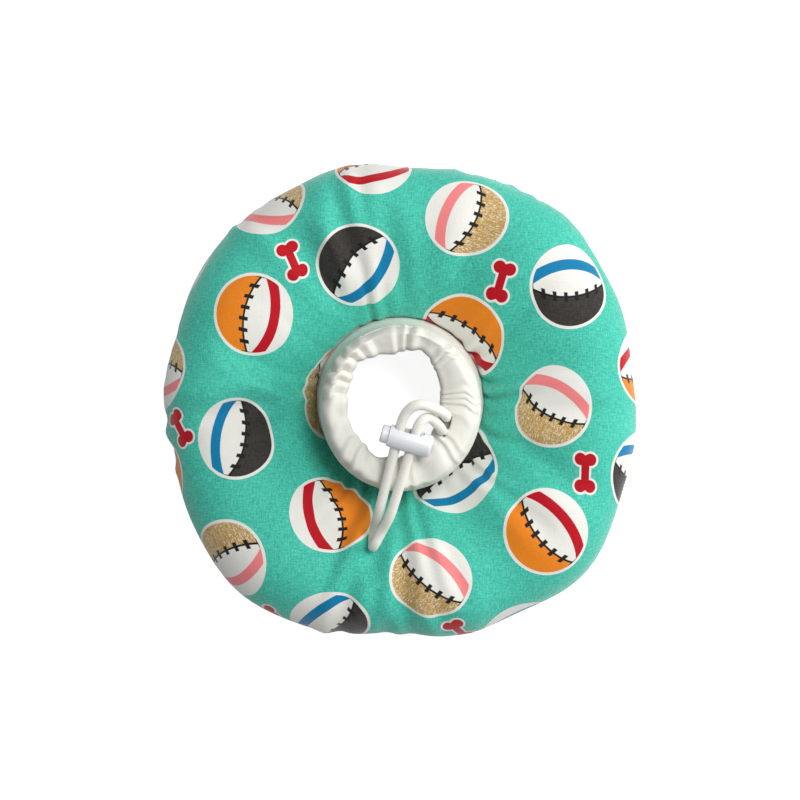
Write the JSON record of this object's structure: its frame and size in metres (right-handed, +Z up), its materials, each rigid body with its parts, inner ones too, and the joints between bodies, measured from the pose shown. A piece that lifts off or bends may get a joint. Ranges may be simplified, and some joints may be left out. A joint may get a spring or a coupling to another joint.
{
  "type": "padded recovery collar",
  "caption": "Soft stuffed fabric ring worn round a small pet's neck, with a gathered drawstring neck sleeve and a spring cord lock.",
  "frame": {"origin": "on the neck axis, in the plane that the collar rests on", "axes": "+Z up along the neck axis towards the drawn mouth; -Y towards the folded end of the drawcord; +X towards the side where the drawcord leaves its casing"},
  "size_m": [0.26, 0.26, 0.1035],
  "materials": {
    "printed_cotton": "plain weave cotton, mint green with a printed pattern of play balls and bones",
    "white_cotton": "off-white cotton, gathered",
    "polyester_fibre": "loose fibre",
    "white_cord": "soft braided cord",
    "white_plastic": "moulded, slightly glossy",
    "spring_steel": "drawn wire"
  },
  "bodies": {
    "collar": {"front_cover": "printed_cotton", "back_cover": "printed_cotton", "fibre_filling": "polyester_fibre", "sleeve_outer_layer": "white_cotton", "sleeve_lining": "white_cotton", "drawcord_casing": "white_cotton", "drawcord_in_casing": "white_cord", "drawcord_loop": "white_cord"},
    "lock": {"lock_barrel": "white_plastic", "lock_spring": "spring_steel"},
    "button": {"lock_plunger": "white_plastic"}
  },
  "joints": [
    {"name": "lock_slide", "type": "slide", "parent": "collar", "child": "lock", "axis": [-0.249, -0.8947, -0.3708], "range_m": [0, 0.02]},
    {"name": "button_press", "type": "slide", "parent": "lock", "child": "button", "axis": [0.9638, -0.2668, -0.0034], "range_m": [0, 0.0022], "stiffness_N_per_m": 1500, "springref_m": -0.003, "deforming": ["lock_spring"]}
  ]
}
